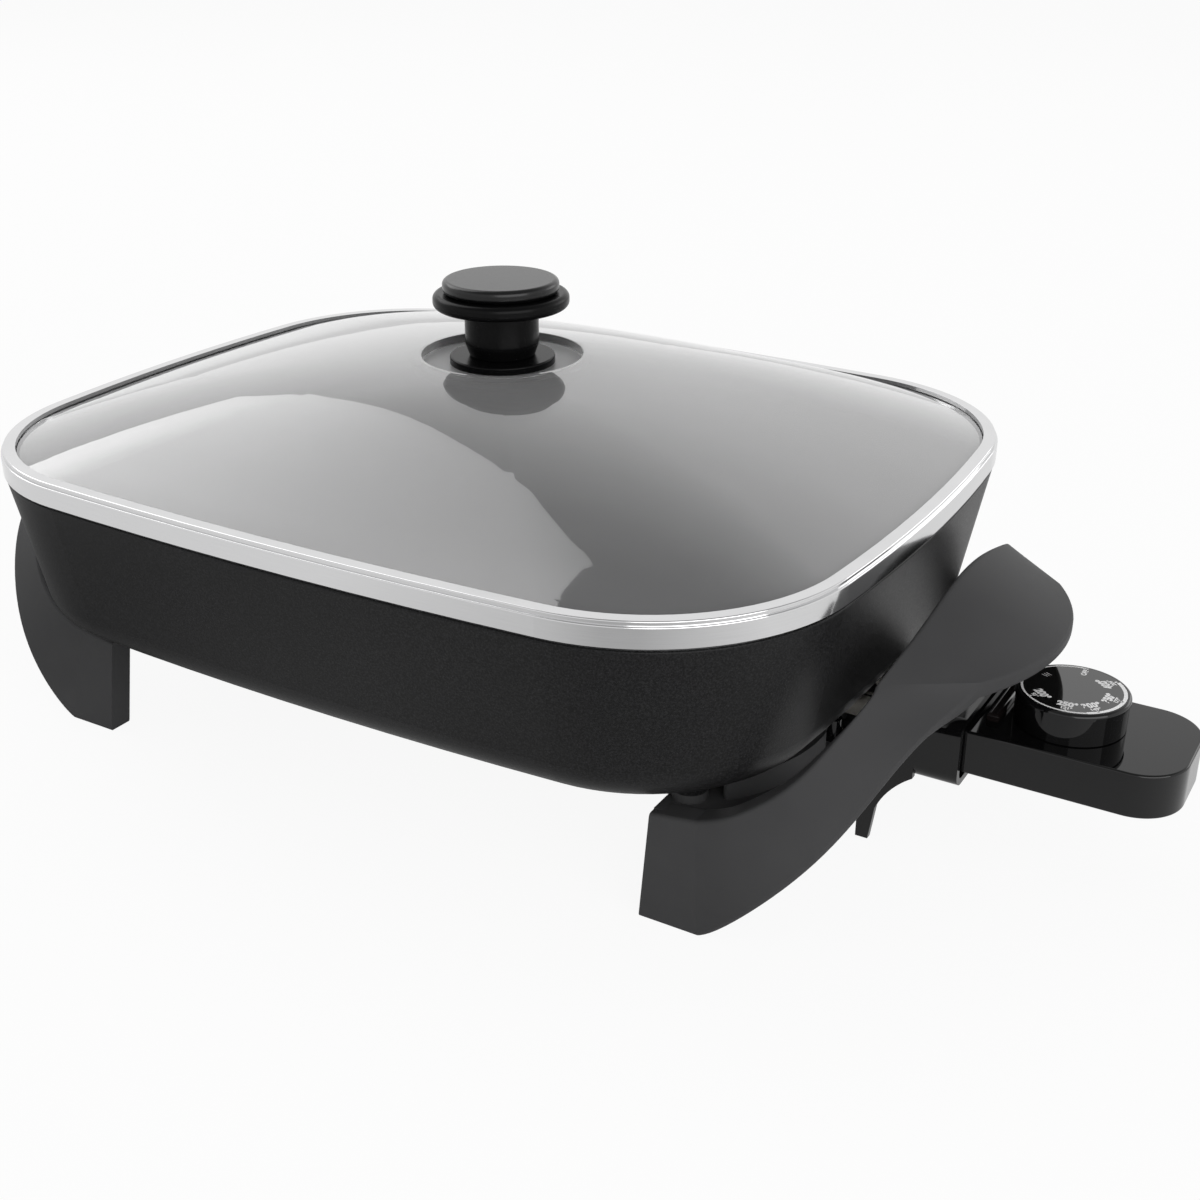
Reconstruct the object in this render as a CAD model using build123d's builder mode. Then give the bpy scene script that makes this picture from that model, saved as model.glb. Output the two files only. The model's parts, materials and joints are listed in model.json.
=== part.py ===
"""Electric skillet: cast pan on two handle-and-leg units, lift-off glass lid, plug-in heat control.

Millimetres, +Z up. The part stands on z = 0. X runs along the pan towards the heat control, and
the origin lies under the middle of the whole part, so the pan's own centre line is at x = pan_x.
"""
from build123d import *
from math import acos, atan2, cos, degrees, hypot, radians, sin, tan
import os

os.makedirs("parts", exist_ok=True)

# ---------------------------------------------------------------- driving dimensions

# Rim of the pan and lid, in plan
rim_half_length = 190.5
rim_half_width = 152.1
long_side_bow_radius = 1785.0
short_side_bow_radius = 805.0
rim_corner_radius = 82.0

# Pan
pan_bottom_height = 53.0
rim_top_height = 118.7
pan_wall_draft = 10.5
pan_wall = 3.4
pan_floor = 4.0
pan_bottom_fillet = 18.0
pan_inside_fillet = 14.0
pan_rim_setback = 0.6
rim_edge_fillet = 0.8

# Heater under the pan
heater_height = 48.65
heater_tube_radius = 3.25
heater_rib_width = 13.0
heater_rib_bottom = 47.2
heater_end_setback = 72.5
heater_side_setback = 68.1
heater_bend_radius = 30.0
heater_tail_bend_radius = 9.0
terminal_spacing = 26.0
terminal_boss_setback = 24.5
terminal_boss_length = 22.0
terminal_boss_half_width = 21.0
terminal_boss_bottom = 41.5
terminal_pin_radius = 2.6
terminal_pin_length = 40.0
terminal_socket_in_tail = 8.0
insulator_radius = 4.2
insulator_length = 9.0
thermowell_depth = 62.0
thermowell_wall = 4.45

# Handle and leg units, one at each end: the foot runs along the pan's side, then the strip
# sweeps round the corner and up to the grip. Setbacks run inwards from the rim's end.
leg_setback = 58.5
leg_top_y = 109.5
leg_foot_y = 116.5
leg_foot_length = 23.5
leg_top_length = 18.0
leg_foot_trim = 0.6
leg_top_inner_height = 39.5
leg_top_end_height = 42.0
leg_top_shoulder = 25.5
leg_top_shoulder_height = 45.0
leg_foot_shoulder = 31.0
leg_foot_shoulder_height = 4.5
leg_top_corner_radius = 40.5
leg_top_corner_sweep = 86.0
leg_foot_corner_radius = 55.0
leg_foot_corner_sweep = 68.8
leg_foot_straight = 36.4
leg_top_rise = (0.15, 0.34, 0.59, 0.82, 1.0)
leg_foot_rise = (0.23, 0.486, 0.744, 0.888, 1.0)
leg_thickness = 10.6
grip_thickness = 6.0
strip_edge_radius = 1.6
grip_reach = 51.9
grip_inner_crown = 4.7
grip_inner_bow_power = 3.2
grip_inner_crease_height = 91.4
grip_crown_height = 18.6
grip_outer_height = 89.1
grip_crown_power = 1.8

# Base frame of each handle unit, under the pan
web_thickness = 3.6
web_top_height = 40.0
web_outer_y = 106.0
web_outer_setback = 10.5
web_neck_y = 60.0
web_inner_y = 80.0
web_inner_setback = 40.5
crossbar_setback = 18.5
crossbar_width = 12.0
riser_height = 9.0
riser_thickness = 3.0
riser_centre_setback = 85.5
riser_centre_y = 45.0
riser_radius = 62.5
riser_start_angle = -42.0
riser_sweep = 47.0
handle_screw_setback = 51.5
handle_screw_y = 92.0
pan_boss_radius = 6.6
pan_boss_height = 9.5
screw_shank_radius = 2.0
screw_hole_radius = 2.25
screw_head_radius = 4.2
screw_head_height = 2.6
screw_grip_in_boss = 7.5
screw_slot_share = 0.3

# Socket guard round the control's inner end
guard_clearance = 1.3
guard_clearance_below = 3.2
guard_wall = 2.7
guard_corner_radius = 6.0
guard_reach = 26.8
guard_tunnel_length = 19.3
cheek_setback = 14.5
cheek_slope_length = 20.0
cheek_slope_drop = 11.4
post_setback = 10.5
post_width = 7.0
post_toe_width = 5.0
post_floor_gap = 2.5
post_shoulder_height = 17.0
post_arch_length = 20.6
post_arch_middle = 12.5
post_arch_drop = 7.5
guard_ear_length = 20.7
guard_ear_thickness = 2.5
guard_ear_width = 8.5
guard_screw_inset = 4.0
guard_screw_radius = 1.6
guard_screw_head_radius = 3.2
guard_screw_head_height = 2.0
guard_screw_boss_radius = 3.6
guard_screw_boss_height = 6.0

# Lid
shadow_gap = 1.3
band_height = 7.6
band_bead_height = 1.7
band_bead_setback = 0.9
band_width = 5.9
band_skin = 1.6
band_seat_setback = 2.2
band_edge_fillet = 0.5
skirt_setback = 6.7
skirt_thickness = 1.2
skirt_depth = 7.0
gasket_thickness = 0.6
glass_thickness = 4.0
glass_edge_setback = 2.4
glass_lip_clearance = 0.4
glass_rise = 33.3
glass_crown_radius = 34.5
glass_crown_squareness = 1.5
dome_bow_power = 1.5
dome_steps = 4
recess_radius = 33.5
recess_depth = 3.5
lid_bore_radius = 4.5

# Lid knob
knob_base_radius = 21.75
knob_base_height = 3.0
knob_stem_radius = 15.2
knob_stem_foot_radius = 13.4
knob_stem_height = 20.0
knob_stem_foot_height = 5.0
knob_foot_fillet = 1.0
knob_stem_bend = 6.0
knob_neck_fillet = 2.2
knob_flange_radius = 27.9
knob_flange_thickness = 6.0
knob_flange_edge = 2.4
knob_cap_radius = 23.8
knob_cap_thickness = 5.5
knob_cap_edge = 2.2
knob_peg_radius = 4.0
knob_peg_length = 5.0
knob_insert_radius = 4.0
knob_insert_length = 13.0
knob_screw_radius = 2.5
knob_screw_reach = 11.0
knob_screw_head_radius = 6.0
knob_screw_head_height = 2.8
knob_washer_radius = 12.0
knob_washer_thickness = 1.2
knob_seal_radius = 13.5
knob_seal_thickness = 1.0

# Heat control
control_setback = 10.5
control_length = 113.4
control_half_width = 27.0
control_bottom_height = 39.9
control_height = 17.5
control_end_radius = 18.0
control_wall = 2.2
control_base_thickness = 3.0
control_edge_fillet = 0.9
control_post_radius = 3.0
control_post_inset = 16.0
control_post_y = 21.0
control_rear_post_inset = 11.4
control_rear_post_y = 9.0
control_screw_radius = 1.5
control_screw_head_radius = 2.6
control_screw_head_height = 1.5
control_screw_length = 11.0
probe_radius = 3.2
probe_length = 68.0
probe_wall = 0.4
probe_clearance = 0.35
probe_plate_inset = 8.0
probe_plate_thickness = 2.0
sensor_rod_radius = 1.2
sensor_rod_gap = 3.0
socket_bore_clearance = 0.1
socket_wall = 0.9
socket_length = 20.0
socket_back = 3.0
terminal_port_clearance = 0.4
block_inset = 29.0
block_length = 12.0
block_half_width = 12.0
block_step_height = 3.5
block_rise = 3.0
arm_thickness = 0.6
arm_width = 8.0
arm_offset = 2.0
contact_arm_lap = 3.0
contact_tab_overhang = 2.0
contact_tab_height = 4.6
setting_arm_lap = 4.15
setting_cross_length = 14.0
rivet_radius = 1.4
rivet_head_radius = 2.2
rivet_head_height = 0.7
lens_inset = 43.6
lens_width = 4.4
lens_length = 30.0
lens_height = 3.0
lens_edge_fillet = 1.2
lens_lip = 1.5
lens_lip_thickness = 1.0
lamp_radius = 1.8
lamp_length = 16.0
cord_inlet_inset = 29.4
cord_inlet_radius = 3.8
cord_inlet_height = 49.2
grommet_wall = 1.3
grommet_flange = 0.8
grommet_flange_thickness = 1.5
clamp_screw_spacing = 14.0
clamp_y = 19.0
clamp_width = 5.0
clamp_length = 19.0
clamp_thickness = 2.6
clamp_post_radius = 2.4
clamp_screw_radius = 1.1
clamp_screw_head_radius = 2.0
clamp_screw_head_height = 1.2
lead_wire_radius = 0.9
lead_wire_spacing = 3.2
lead_wire_bend = 6.0

# Temperature dial
dial_inset = 45.55
dial_radius = 20.7
dial_height = 13.2
dial_rim_height = 2.4
dial_rim_overhang = 0.4
dial_gap = 0.4
dial_wall = 1.8
dial_edge_fillet = 1.4
dial_plate_radius = 19.0
dial_plate_thickness = 0.8
dial_hub_radius = 5.5
dial_shaft_radius = 3.0
dial_shaft_grip = 9.0
dial_bush_radius = 6.0
dial_bush_length = 3.7
dial_clip_radius = 4.6
dial_clip_thickness = 0.5
dial_clip_groove = 0.6

# Shared fits
seat_gap = 0.3
press_gap = 0.05
running_clearance = 0.06
slip_clearance = 0.15
cut_margin = 1.0

# ---------------------------------------------------------------- derived places

# Along the pan, from its centre: the end units follow the rim's end
heater_loop_half_length = rim_half_length - heater_end_setback
heater_loop_half_width = rim_half_width - heater_side_setback
terminal_boss_end = rim_half_length - terminal_boss_setback
leg_inner_end = rim_half_length - leg_setback
leg_foot_end = leg_inner_end + leg_foot_length
leg_top_end = leg_inner_end + leg_top_length
leg_top_shoulder_x = leg_inner_end + leg_top_shoulder
leg_foot_shoulder_x = leg_inner_end + leg_foot_shoulder
grip_tip = rim_half_length + grip_reach
web_outer_x = rim_half_length - web_outer_setback
web_inner_x = rim_half_length - web_inner_setback
crossbar_outer_x = rim_half_length - crossbar_setback
crossbar_inner_x = crossbar_outer_x - crossbar_width
riser_centre_x = rim_half_length - riser_centre_setback
handle_screw_x = rim_half_length - handle_screw_setback
guard_mouth_x = rim_half_length + guard_reach
cheek_inner_x = rim_half_length - cheek_setback
cheek_slope_end = cheek_inner_x + cheek_slope_length
post_inner_x = rim_half_length - post_setback
post_arch_end = post_inner_x + post_arch_length
post_arch_mid_x = post_inner_x + post_arch_middle
guard_screw_x = (crossbar_outer_x + crossbar_inner_x) / 2
control_inner_x = rim_half_length - control_setback
control_end_x = control_inner_x + control_length
control_post_x = control_inner_x + control_post_inset
control_rear_post_x = control_end_x - control_rear_post_inset
probe_plate_x = control_inner_x + probe_plate_inset
block_x = control_inner_x + block_inset
contact_tab_x = block_x - contact_tab_overhang
lens_x = control_inner_x + lens_inset
cord_inlet_x = control_end_x - cord_inlet_inset
dial_x = control_end_x - dial_inset
setting_arm_end = dial_x + setting_arm_lap
contact_rivet_x = setting_arm_end - setting_cross_length / 2
contact_arm_end = contact_rivet_x + contact_arm_lap

# The part's overall length is centred on the origin.
pan_x = (grip_tip - control_end_x) / 2

pan_wall_in_plan = pan_wall / cos(radians(pan_wall_draft))
pan_floor_height = pan_bottom_height + pan_floor
pan_boss_bottom = pan_bottom_height - pan_boss_height
web_bottom_height = web_top_height - web_thickness
terminal_y = terminal_spacing / 2
pin_start = terminal_boss_end - terminal_socket_in_tail
pin_bore_radius = terminal_pin_radius + press_gap
thermowell_radius = probe_radius + probe_clearance

band_bottom = rim_top_height + shadow_gap
band_top = band_bottom + band_height
bead_top = band_top + band_bead_height
glass_rim_height = band_top - glass_lip_clearance
glass_seat_height = glass_rim_height - glass_thickness
gasket_bottom = glass_seat_height - gasket_thickness
glass_crown_height = glass_rim_height + glass_rise
glass_crown_bow = glass_crown_radius + glass_crown_squareness
glass_crown_corner = glass_crown_radius - glass_crown_squareness
recess_floor = glass_crown_height - recess_depth
recess_underside = recess_floor - glass_thickness

knob_stem_bottom = recess_floor + knob_base_height
knob_flange_bottom = knob_stem_bottom + knob_stem_height
knob_cap_bottom = knob_flange_bottom + knob_flange_thickness
knob_seal_bottom = recess_underside - knob_seal_thickness
knob_washer_bottom = knob_seal_bottom - knob_washer_thickness

control_top = control_bottom_height + control_height
control_seam = control_bottom_height + control_base_thickness
control_ceiling = control_top - control_wall
control_inside_half_width = control_half_width - control_wall
guard_inside_half_width = control_half_width + guard_clearance
guard_half_width = guard_inside_half_width + guard_wall
guard_top_height = control_top + guard_clearance + guard_wall
guard_bottom_height = control_bottom_height - guard_clearance_below - guard_wall
guard_screw_y = guard_half_width - guard_screw_inset
cheek_inner_top = guard_top_height - cheek_slope_drop
post_arch_mid_height = guard_bottom_height - post_arch_drop
socket_radius = terminal_pin_radius + socket_bore_clearance + socket_wall
socket_start = control_inner_x + control_wall
socket_end = socket_start + socket_length
probe_tip = control_inner_x - probe_length
block_low_top = control_seam + block_step_height
block_high_top = block_low_top + block_rise
setting_arm_top = block_high_top + arm_thickness
lens_lip_bottom = control_ceiling - lens_lip_thickness
clamp_bottom = heater_height + lead_wire_radius + press_gap
clamp_top = clamp_bottom + clamp_thickness
bush_bottom = control_ceiling - dial_bush_length
dial_bottom = control_top + dial_gap
dial_top = control_top + dial_height
dial_plate_bottom = dial_top - dial_plate_thickness
dial_shaft_bottom = setting_arm_top + seat_gap
dial_shaft_top = dial_bottom + dial_shaft_grip


# ---------------------------------------------------------------- planes and outlines

def level(height):
    """Horizontal plane over the pan's centre line."""
    return Plane(origin=(pan_x, 0, height))


def crosswise(distance):
    """Upright plane square to the long axis: local x is +Y, local y is up, normal +X."""
    return Plane(origin=(pan_x + distance, 0, 0), x_dir=(0, 1, 0), z_dir=(1, 0, 0))


def lengthwise(distance):
    """Upright plane along the long axis: local x is +X, local y is up, normal -Y."""
    return Plane(origin=(pan_x, distance, 0), x_dir=(1, 0, 0), z_dir=(0, -1, 0))


def in_pan(x, y, z):
    """Point given from the pan's centre line."""
    return Vector(pan_x + x, y, z)


def bowed_rectangle(half_length, half_width, long_bow, short_bow, corner, height):
    """Rounded rectangle whose four sides bow outwards, each a tangent arc."""
    # The corner's centre lies where circles about the two side arcs' centres cross.
    long_centre = half_width - long_bow
    short_centre = half_length - short_bow
    reach_long = long_bow - corner
    reach_short = short_bow - corner
    span = hypot(short_centre, long_centre)
    along = (reach_short**2 - reach_long**2 + span**2) / (2 * span)
    turn = acos(along / reach_short)
    base = atan2(long_centre, -short_centre)
    corner_x = short_centre + reach_short * cos(base + turn)
    corner_y = reach_short * sin(base + turn)
    end_tilt = degrees(atan2(corner_y, corner_x - short_centre))
    side_tilt = degrees(atan2(corner_x, corner_y - long_centre))
    with BuildSketch(level(height)) as outline:
        with BuildLine():
            CenterArc((short_centre, 0), short_bow, -end_tilt, 2 * end_tilt)
            CenterArc((corner_x, corner_y), corner, end_tilt, 90 - end_tilt - side_tilt)
            CenterArc((0, long_centre), long_bow, 90 - side_tilt, 2 * side_tilt)
            CenterArc((-corner_x, corner_y), corner, 90 + side_tilt, 90 - end_tilt - side_tilt)
            CenterArc((-short_centre, 0), short_bow, 180 - end_tilt, 2 * end_tilt)
            CenterArc((-corner_x, -corner_y), corner, 180 + end_tilt, 90 - end_tilt - side_tilt)
            CenterArc((0, -long_centre), long_bow, 270 - side_tilt, 2 * side_tilt)
            CenterArc((corner_x, -corner_y), corner, 270 + side_tilt, 90 - end_tilt - side_tilt)
        make_face()
    return outline.sketch


def rim_outline(inset, height):
    """The rim's plan outline, moved inwards by inset."""
    return bowed_rectangle(
        rim_half_length - inset,
        rim_half_width - inset,
        long_side_bow_radius - inset,
        short_side_bow_radius - inset,
        rim_corner_radius - inset,
        height,
    )


def rim_ring(outer_inset, inner_inset, bottom, top, rounding=0):
    """Ring between two insets of the rim outline, its outer top edge rounded."""
    with BuildPart() as ring:
        extrude(rim_outline(outer_inset, bottom), amount=top - bottom)
        if rounding:
            fillet(ring.faces().sort_by(Axis.Z)[-1].edges(), radius=rounding)
        extrude(rim_outline(inner_inset, bottom), amount=top - bottom, mode=Mode.SUBTRACT)
    return ring.part


def wall_inset(height):
    """How far the pan's outer wall stands inside the rim outline at a height."""
    return pan_rim_setback + (rim_top_height - height) * tan(radians(pan_wall_draft))


def heater_run():
    """Centre line of the heater: in at one tail, round the pan, out at the other."""
    with BuildLine(level(heater_height)) as run:
        FilletPolyline(
            (terminal_boss_end, terminal_y),
            (heater_loop_half_length, terminal_y),
            (heater_loop_half_length, heater_loop_half_width),
            (-heater_loop_half_length, heater_loop_half_width),
            (-heater_loop_half_length, -heater_loop_half_width),
            (heater_loop_half_length, -heater_loop_half_width),
            (heater_loop_half_length, -terminal_y),
            (terminal_boss_end, -terminal_y),
            radius=[heater_tail_bend_radius] + [heater_bend_radius] * 4 + [heater_tail_bend_radius],
        )
    return run.line


def heater_sweep(radius):
    """Round bar along the heater's centre line."""
    with BuildPart() as bar:
        with BuildSketch(crosswise(terminal_boss_end)):
            with Locations((terminal_y, heater_height)):
                Circle(radius)
        sweep(path=heater_run())
    return bar.part


# ---------------------------------------------------------------- pan

with BuildPart() as pan_hollow:
    extrude(
        rim_outline(wall_inset(pan_floor_height) + pan_wall_in_plan, pan_floor_height),
        amount=rim_top_height - pan_floor_height + cut_margin,
        taper=-pan_wall_draft,
    )
    fillet(pan_hollow.faces().sort_by(Axis.Z)[0].edges(), radius=pan_inside_fillet)

with BuildPart() as pan:
    extrude(
        rim_outline(wall_inset(pan_bottom_height), pan_bottom_height),
        amount=rim_top_height - pan_bottom_height,
        taper=-pan_wall_draft,
    )
    fillet(pan.faces().sort_by(Axis.Z)[0].edges(), radius=pan_bottom_fillet)
    add(pan_hollow.part, mode=Mode.SUBTRACT)
    fillet(pan.faces().sort_by(Axis.Z)[-1].edges(), radius=rim_edge_fillet)

    # Rib that the heater is set into
    with BuildSketch(crosswise(terminal_boss_end)):
        with Locations((terminal_y, (heater_rib_bottom + pan_bottom_height) / 2)):
            Rectangle(heater_rib_width, pan_bottom_height - heater_rib_bottom)
    sweep(path=heater_run())

    # Boss round the two tails, and the bar that the probe's well runs through
    with BuildSketch(level(terminal_boss_bottom)):
        with Locations((terminal_boss_end - terminal_boss_length / 2, 0)):
            Rectangle(terminal_boss_length, 2 * terminal_boss_half_width)
    extrude(amount=pan_bottom_height - terminal_boss_bottom)
    with BuildSketch(crosswise(terminal_boss_end)):
        with Locations((0, heater_height)):
            Circle(thermowell_radius + thermowell_wall)
    extrude(amount=-(thermowell_depth + thermowell_wall))

    # Bosses for the handle screws
    with BuildSketch(level(pan_boss_bottom)):
        with GridLocations(2 * handle_screw_x, 2 * handle_screw_y, 2, 2):
            Circle(pan_boss_radius)
    extrude(amount=pan_boss_height)
    with BuildSketch(level(pan_boss_bottom)):
        with GridLocations(2 * handle_screw_x, 2 * handle_screw_y, 2, 2):
            Circle(screw_shank_radius + press_gap)
    extrude(amount=screw_grip_in_boss, mode=Mode.SUBTRACT)

    add(heater_sweep(heater_tube_radius + press_gap), mode=Mode.SUBTRACT)
    with BuildSketch(crosswise(terminal_boss_end)):
        with Locations((0, heater_height)):
            Circle(thermowell_radius)
    extrude(amount=-thermowell_depth, mode=Mode.SUBTRACT)
pan.part.label = "pan"
export_step(pan.part, "parts/pan.step")

# ---------------------------------------------------------------- heating element and terminals

with BuildPart() as heating_element:
    add(heater_sweep(heater_tube_radius))
    with BuildSketch(crosswise(terminal_boss_end)):
        with Locations((-terminal_y, heater_height), (terminal_y, heater_height)):
            Circle(pin_bore_radius)
    extrude(amount=-terminal_socket_in_tail, mode=Mode.SUBTRACT)
heating_element.part.label = "heating_element"
export_step(heating_element.part, "parts/heating_element.step")

with BuildPart() as terminal_pins:
    with BuildSketch(crosswise(pin_start)):
        with Locations((-terminal_y, heater_height), (terminal_y, heater_height)):
            Circle(terminal_pin_radius)
    extrude(amount=terminal_pin_length)
    fillet(terminal_pins.edges().group_by(Axis.X)[-1], radius=terminal_pin_radius / 2)
terminal_pins.part.label = "terminal_pins"
export_step(terminal_pins.part, "parts/terminal_pins.step")

with BuildPart() as terminal_insulators:
    with BuildSketch(crosswise(terminal_boss_end)):
        with Locations((-terminal_y, heater_height), (terminal_y, heater_height)):
            Circle(insulator_radius)
            Circle(pin_bore_radius, mode=Mode.SUBTRACT)
    extrude(amount=insulator_length)
terminal_insulators.part.label = "terminal_insulators"
export_step(terminal_insulators.part, "parts/terminal_insulators.step")


# ---------------------------------------------------------------- handle and leg units

def strip_section(top, bottom, depth):
    """Slanted four-sided section from the strip's top edge to its bottom edge."""
    across = bottom - top
    plane = Plane(origin=top, x_dir=across, z_dir=across.cross(depth))
    back_x = depth.dot(plane.x_dir)
    back_y = depth.dot(plane.y_dir)
    with BuildSketch(plane) as section:
        with BuildLine():
            Polyline(
                (0, 0),
                (across.length, 0),
                (across.length + back_x, back_y),
                (back_x, back_y),
                close=True,
            )
        make_face()
        fillet(section.vertices(), radius=strip_edge_radius)
    return section.sketch


def foot_section(top_x, foot_x, top_height, foot_height):
    """Section along the straight side, where the strip is as thick as the foot."""
    return strip_section(
        in_pan(top_x, -leg_top_y, top_height),
        in_pan(foot_x, -leg_foot_y, foot_height),
        Vector(0, leg_thickness, 0),
    )


leg_top_centre_y = leg_top_y - leg_top_corner_radius
leg_foot_centre_y = leg_foot_y - leg_foot_corner_radius
foot_arc_length = leg_foot_corner_radius * radians(leg_foot_corner_sweep)


def leg_top_point(share, rise):
    """Point on the strip's top edge, at a share of its way round the corner."""
    angle = radians(leg_top_corner_sweep) * share
    lift = grip_inner_crease_height - leg_top_shoulder_height
    return in_pan(
        leg_top_shoulder_x + leg_top_corner_radius * sin(angle),
        -leg_top_centre_y - leg_top_corner_radius * cos(angle),
        leg_top_shoulder_height + lift * rise,
    )


def leg_foot_point(share, rise):
    """Point on the strip's bottom edge: round the corner's arc, then straight on."""
    run = share * (foot_arc_length + leg_foot_straight)
    angle = min(run, foot_arc_length) / leg_foot_corner_radius
    straight = max(0, run - foot_arc_length)
    lift = grip_outer_height - leg_foot_shoulder_height
    return in_pan(
        leg_foot_shoulder_x + leg_foot_corner_radius * sin(angle) + straight * cos(angle),
        -leg_foot_centre_y - leg_foot_corner_radius * cos(angle) + straight * sin(angle),
        leg_foot_shoulder_height + lift * rise,
    )


def corner_section(share, top_rise, foot_rise):
    """Section round the corner, turning from an upright wall to the flat of the grip."""
    angle = radians(leg_top_corner_sweep) * share
    inward = Vector(-sin(angle), cos(angle), 0)
    thickness = leg_thickness + (grip_thickness - leg_thickness) * share
    depth = (inward * (1 - share**2) + Vector(0, 0, -1) * share**2) * thickness
    return strip_section(leg_top_point(share, top_rise), leg_foot_point(share, foot_rise), depth)


grip_inner_end = leg_top_point(1, 1)
grip_outer_end = leg_foot_point(1, 1)
grip_outer_sag = pan_x + grip_tip - grip_outer_end.X
grip_outer_radius = (grip_outer_sag**2 + grip_outer_end.Y**2) / (2 * grip_outer_sag)


def grip_section(share):
    """Section of the grip, from one crease (share -1) over the middle (0) to the other (1)."""
    crown = 1 - abs(share) ** grip_crown_power
    bow = 1 - abs(share) ** grip_inner_bow_power
    angle = share * atan2(-grip_outer_end.Y, grip_outer_radius - grip_outer_sag)
    inner = Vector(
        grip_inner_end.X + grip_inner_crown * bow,
        -grip_inner_end.Y * share,
        grip_inner_crease_height + grip_crown_height * crown,
    )
    outer = Vector(
        pan_x + grip_tip - grip_outer_radius * (1 - cos(angle)),
        grip_outer_radius * sin(angle),
        grip_outer_height,
    )
    return strip_section(inner, outer, Vector(0, 0, -grip_thickness))


corner_steps = len(leg_top_rise)
grip_steps = 3

with BuildPart() as handle_unit:
    # Foot along the pan's side
    foot_start = foot_section(leg_inner_end, leg_inner_end, leg_top_inner_height, -leg_foot_trim)
    foot_end = foot_section(leg_top_end, leg_foot_end, leg_top_end_height, -leg_foot_trim)
    loft(sections=[foot_start, foot_end], ruled=True)

    # Strip round the corner and up to the grip
    shoulder = foot_section(
        leg_top_shoulder_x, leg_foot_shoulder_x, leg_top_shoulder_height, leg_foot_shoulder_height
    )
    corner = [
        corner_section((step + 1) / corner_steps, leg_top_rise[step], leg_foot_rise[step])
        for step in range(corner_steps)
    ]
    loft(sections=[foot_end, shoulder] + corner)

    # The foot stands flat
    split(bisect_by=Plane.XY)

    # Flat web under the pan's corner, with half of the crossbar
    with BuildSketch(level(web_bottom_height)):
        with BuildLine():
            Polyline(
                (leg_inner_end, -web_outer_y),
                (web_outer_x, -web_outer_y),
                (crossbar_outer_x, -web_neck_y),
                (crossbar_outer_x, 0),
                (crossbar_inner_x, 0),
                (crossbar_inner_x, -web_neck_y),
                (web_inner_x, -web_inner_y),
                (leg_inner_end, -web_inner_y),
                close=True,
            )
        make_face()
    extrude(amount=web_thickness)

    # Curved riser under the pan's corner
    with BuildSketch(level(web_top_height)):
        with BuildLine():
            CenterArc(
                (riser_centre_x, -riser_centre_y), riser_radius, riser_start_angle, riser_sweep
            )
            offset(amount=riser_thickness / 2)
        make_face()
    extrude(amount=riser_height)

    mirror(about=Plane.XZ)

    loft(sections=[grip_section(step / grip_steps) for step in range(-grip_steps, grip_steps + 1)])

    with BuildSketch(level(web_bottom_height)):
        with Locations((handle_screw_x, -handle_screw_y), (handle_screw_x, handle_screw_y)):
            Circle(screw_hole_radius)
    extrude(amount=web_thickness, mode=Mode.SUBTRACT)

with BuildPart() as right_handle:
    add(handle_unit.part)
    with BuildSketch(level(web_bottom_height)):
        with Locations((guard_screw_x, -guard_screw_y), (guard_screw_x, guard_screw_y)):
            Circle(guard_screw_radius + slip_clearance)
    extrude(amount=web_thickness, mode=Mode.SUBTRACT)
right_handle.part.label = "right_handle"
export_step(right_handle.part, "parts/right_handle.step")

with BuildPart() as left_handle:
    mirror(handle_unit.part, about=crosswise(0))
left_handle.part.label = "left_handle"
export_step(left_handle.part, "parts/left_handle.step")


# ---------------------------------------------------------------- spacers and screws

def screws(places, seat, shank_radius, shank_length, head_radius, head_height, drive=1):
    """Cross-slotted screws with their heads against the seat height; drive -1 points them down."""
    slot_width = head_radius * screw_slot_share
    slot_length = 2 * head_radius * (1 - screw_slot_share)
    with BuildPart() as group:
        with BuildSketch(level(seat)):
            with Locations(*places):
                Circle(shank_radius)
        extrude(amount=drive * shank_length)
        with BuildSketch(level(seat)):
            with Locations(*places):
                Circle(head_radius)
        extrude(amount=-drive * head_height)
        with BuildSketch(level(seat - drive * head_height)):
            with Locations(*places):
                Rectangle(slot_length, slot_width)
                Rectangle(slot_width, slot_length)
        extrude(amount=drive * head_height / 2, mode=Mode.SUBTRACT)
    return group.part


with BuildPart() as handle_spacers:
    with BuildSketch(level(web_top_height)):
        with GridLocations(2 * handle_screw_x, 2 * handle_screw_y, 2, 2):
            Circle(pan_boss_radius)
            Circle(screw_hole_radius, mode=Mode.SUBTRACT)
    extrude(amount=pan_boss_bottom - web_top_height)
handle_spacers.part.label = "handle_spacers"
export_step(handle_spacers.part, "parts/handle_spacers.step")

with BuildPart() as handle_screws:
    add(
        screws(
            [(x, y) for x in (-handle_screw_x, handle_screw_x) for y in (-handle_screw_y, handle_screw_y)],
            web_bottom_height,
            screw_shank_radius,
            pan_boss_bottom - web_bottom_height + screw_grip_in_boss - seat_gap,
            screw_head_radius,
            screw_head_height,
        )
    )
handle_screws.part.label = "handle_screws"
export_step(handle_screws.part, "parts/handle_screws.step")

# ---------------------------------------------------------------- socket guard

guard_ear_end = cheek_inner_x + guard_wall

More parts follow.
